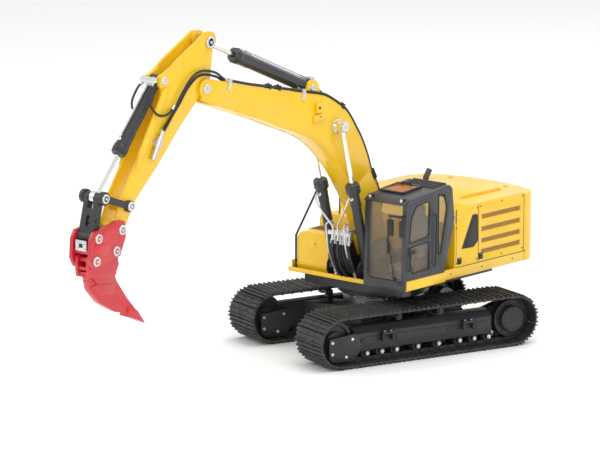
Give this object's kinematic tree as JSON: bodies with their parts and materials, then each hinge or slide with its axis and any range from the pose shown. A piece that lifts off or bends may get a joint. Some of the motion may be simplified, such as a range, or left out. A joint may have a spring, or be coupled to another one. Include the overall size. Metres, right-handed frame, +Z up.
{
  "type": "rc excavator",
  "caption": "Radio-controlled crawler excavator: tracked undercarriage, swinging upper body with cab, and a hydraulic boom, stick and red ripper on a quick coupler",
  "frame": {"origin": "on the ground plane under the swing axis", "axes": "+Z up, -Y the way the boom points, +X the cab side; the undercarriage is parked turned 18 degrees about Z"},
  "size_m": [0.3448, 0.848, 0.482],
  "materials": {
    "yellow_paint": "satin yellow enamel",
    "black_frame": "satin black paint",
    "track_steel": "blackened cast metal",
    "roller_steel": "black painted metal",
    "bearing_steel": "dark machined steel",
    "motor_metal": "cast motor can",
    "bronze_mesh": "fine bronze mesh",
    "black_trim": "matt black plastic",
    "cab_grey": "satin charcoal paint",
    "tinted_glass": "grey tinted clear plastic",
    "amber_glass": "amber tinted plastic",
    "seat_grey": "grey moulded seat",
    "exhaust_grey": "heat-proof grey paint",
    "battery_wrap": "shrink-wrapped cells",
    "silver_pins": "turned steel",
    "barrel_black": "satin black tube",
    "rod_chrome": "polished rod",
    "link_black": "black painted steel",
    "red_paint": "gloss red enamel"
  },
  "bodies": {
    "undercarriage": {"carbody": "black_frame", "side_frame_left": "black_frame", "side_frame_right": "black_frame", "track_links_left": "track_steel", "track_links_right": "track_steel", "track_shoes_left": "track_steel", "track_shoes_right": "track_steel", "bottom_rollers_left": "roller_steel", "bottom_rollers_right": "roller_steel", "swing_ring_lower": "bearing_steel", "travel_motors": "motor_metal"},
    "sprocket_left": {"sprocket_left": "roller_steel"},
    "sprocket_right": {"sprocket_right": "roller_steel"},
    "idler_left": {"idler_left": "roller_steel"},
    "idler_right": {"idler_right": "roller_steel"},
    "carrier_front_left": {"carrier_roller_front_left": "roller_steel"},
    "carrier_rear_left": {"carrier_roller_rear_left": "roller_steel"},
    "carrier_front_right": {"carrier_roller_front_right": "roller_steel"},
    "carrier_rear_right": {"carrier_roller_rear_right": "roller_steel"},
    "upper": {"main_frame": "black_frame", "deck_skirts": "yellow_paint", "swing_ring_upper": "bearing_steel", "counterweight": "yellow_paint", "engine_hood": "yellow_paint", "side_panel_left": "yellow_paint", "side_panel_right": "yellow_paint", "grille_meshes": "bronze_mesh", "door_latches": "black_trim", "fuel_tank_box": "yellow_paint", "cab_frame": "cab_grey", "cab_glass": "tinted_glass", "roof_hatch": "amber_glass", "seat": "seat_grey", "control_consoles": "black_trim", "exhaust_pipe": "exhaust_grey", "handrails": "black_trim", "mirrors": "black_trim", "swing_motor": "motor_metal", "pump_motor": "motor_metal", "battery_pack": "battery_wrap", "foot_pins": "silver_pins"},
    "cab_door": {"cab_door": "cab_grey", "cab_door_glass": "tinted_glass"},
    "boom": {"boom": "yellow_paint", "boom_pins": "silver_pins", "boom_manifold": "silver_pins"},
    "boom_barrel_left": {"boom_barrel_left": "barrel_black"},
    "boom_barrel_right": {"boom_barrel_right": "barrel_black"},
    "boom_rod_left": {"boom_rod_left": "rod_chrome"},
    "boom_rod_right": {"boom_rod_right": "rod_chrome"},
    "stick_barrel": {"stick_barrel": "barrel_black"},
    "stick_rod": {"stick_rod": "rod_chrome"},
    "stick": {"stick": "yellow_paint", "aux_coupling": "silver_pins"},
    "bucket_barrel": {"bucket_barrel": "barrel_black"},
    "bucket_rod": {"bucket_rod": "rod_chrome"},
    "side_links": {"side_links": "link_black"},
    "h_link": {"h_link": "link_black"},
    "tool": {"quick_coupler": "red_paint", "ripper": "red_paint"}
  },
  "joints": [
    {"name": "swing", "type": "hinge", "parent": "undercarriage", "child": "upper", "pos_m": [0, 0, 0.06], "axis": [0, 0, 1], "continuous": true},
    {"name": "boom_hinge", "type": "hinge", "parent": "upper", "child": "boom", "pos_m": [0, -0.027, 0.138], "axis": [1, 0, 0], "range_deg": [-12, 32]},
    {"name": "boom_barrel_left_hinge", "type": "hinge", "parent": "upper", "child": "boom_barrel_left", "pos_m": [0, -0.069, 0.116], "axis": [1, 0, 0], "range_deg": [-13, 34]},
    {"name": "boom_barrel_right_hinge", "type": "hinge", "parent": "upper", "child": "boom_barrel_right", "pos_m": [0, -0.069, 0.116], "axis": [1, 0, 0], "range_deg": [-13, 34]},
    {"name": "boom_rod_left_slide", "type": "slide", "parent": "boom_barrel_left", "child": "boom_rod_left", "axis": [0, -0.2671, 0.9637], "range_m": [-0.0285, 0.011]},
    {"name": "boom_rod_right_slide", "type": "slide", "parent": "boom_barrel_right", "child": "boom_rod_right", "axis": [0, -0.2671, 0.9637], "range_m": [-0.0285, 0.011]},
    {"name": "stick_hinge", "type": "hinge", "parent": "boom", "child": "stick", "pos_m": [0, -0.388, 0.408], "axis": [1, 0, 0], "range_deg": [-25, 20]},
    {"name": "stick_barrel_hinge", "type": "hinge", "parent": "boom", "child": "stick_barrel", "pos_m": [0, -0.169, 0.382], "axis": [1, 0, 0], "range_deg": [-2, 2]},
    {"name": "stick_rod_slide", "type": "slide", "parent": "stick_barrel", "child": "stick_rod", "axis": [0, -0.9243, 0.3817], "range_m": [-0.027, 0.0216]},
    {"name": "tool_hinge", "type": "hinge", "parent": "stick", "child": "tool", "pos_m": [0, -0.553, 0.246], "axis": [1, 0, 0], "range_deg": [-30, 30]},
    {"name": "side_link_hinge", "type": "hinge", "parent": "stick", "child": "side_links", "pos_m": [0, -0.536, 0.274], "axis": [1, 0, 0], "range_deg": [-25, 25]},
    {"name": "h_link_hinge", "type": "hinge", "parent": "tool", "child": "h_link", "pos_m": [0, -0.597, 0.241], "axis": [1, 0, 0], "range_deg": [-19, 19]},
    {"name": "bucket_barrel_hinge", "type": "hinge", "parent": "stick", "child": "bucket_barrel", "pos_m": [0, -0.466, 0.428], "axis": [1, 0, 0], "range_deg": [-2.5, 2.5]},
    {"name": "bucket_rod_slide", "type": "slide", "parent": "bucket_barrel", "child": "bucket_rod", "axis": [0, -0.6438, -0.7652], "range_m": [-0.02, 0.02]},
    {"name": "cab_door_hinge", "type": "hinge", "parent": "upper", "child": "cab_door", "pos_m": [0.1114, -0.0302, 0], "axis": [0, 0, 1], "range_deg": [0, 110]},
    {"name": "sprocket_left_turn", "type": "hinge", "parent": "undercarriage", "child": "sprocket_left", "pos_m": [0.12979, 0.10819, 0.037], "axis": [0.9511, -0.309, 0], "continuous": true},
    {"name": "idler_left_turn", "type": "hinge", "parent": "undercarriage", "child": "idler_left", "pos_m": [0.04141, -0.16381, 0.037], "axis": [0.9511, -0.309, 0], "continuous": true},
    {"name": "carrier_front_left_turn", "type": "hinge", "parent": "undercarriage", "child": "carrier_front_left", "pos_m": [0.07354, -0.0649, 0.0592], "axis": [0.9511, -0.309, 0], "continuous": true},
    {"name": "carrier_rear_left_turn", "type": "hinge", "parent": "undercarriage", "child": "carrier_rear_left", "pos_m": [0.09456, -0.00023, 0.0592], "axis": [0.9511, -0.309, 0], "continuous": true},
    {"name": "sprocket_right_turn", "type": "hinge", "parent": "undercarriage", "child": "sprocket_right", "pos_m": [-0.04141, 0.16381, 0.037], "axis": [0.9511, -0.309, 0], "continuous": true},
    {"name": "idler_right_turn", "type": "hinge", "parent": "undercarriage", "child": "idler_right", "pos_m": [-0.12979, -0.10819, 0.037], "axis": [0.9511, -0.309, 0], "continuous": true},
    {"name": "carrier_front_right_turn", "type": "hinge", "parent": "undercarriage", "child": "carrier_front_right", "pos_m": [-0.09765, -0.00928, 0.0592], "axis": [0.9511, -0.309, 0], "continuous": true},
    {"name": "carrier_rear_right_turn", "type": "hinge", "parent": "undercarriage", "child": "carrier_rear_right", "pos_m": [-0.07663, 0.05539, 0.0592], "axis": [0.9511, -0.309, 0], "continuous": true}
  ],
  "couplings": [
    {"joint": "boom_barrel_left_hinge", "follows": "boom_hinge", "ratio": 0.992},
    {"joint": "boom_rod_left_slide", "follows": "boom_hinge", "m_per_rad": -0.0463},
    {"joint": "boom_barrel_right_hinge", "follows": "boom_hinge", "ratio": 0.992},
    {"joint": "boom_rod_right_slide", "follows": "boom_hinge", "m_per_rad": -0.0463},
    {"joint": "stick_barrel_hinge", "follows": "stick_hinge", "ratio": 0.051},
    {"joint": "stick_rod_slide", "follows": "stick_hinge", "m_per_rad": 0.0607},
    {"joint": "side_link_hinge", "follows": "tool_hinge", "ratio": 0.813},
    {"joint": "h_link_hinge", "follows": "tool_hinge", "ratio": -0.62},
    {"joint": "bucket_barrel_hinge", "follows": "tool_hinge", "ratio": 0.074},
    {"joint": "bucket_rod_slide", "follows": "tool_hinge", "m_per_rad": 0.03768},
    {"joint": "idler_left_turn", "follows": "sprocket_left_turn", "ratio": 1},
    {"joint": "carrier_front_left_turn", "follows": "sprocket_left_turn", "ratio": 5.8824},
    {"joint": "carrier_rear_left_turn", "follows": "sprocket_left_turn", "ratio": 5.8824},
    {"joint": "idler_right_turn", "follows": "sprocket_right_turn", "ratio": 1},
    {"joint": "carrier_front_right_turn", "follows": "sprocket_right_turn", "ratio": 5.8824},
    {"joint": "carrier_rear_right_turn", "follows": "sprocket_right_turn", "ratio": 5.8824}
  ]
}
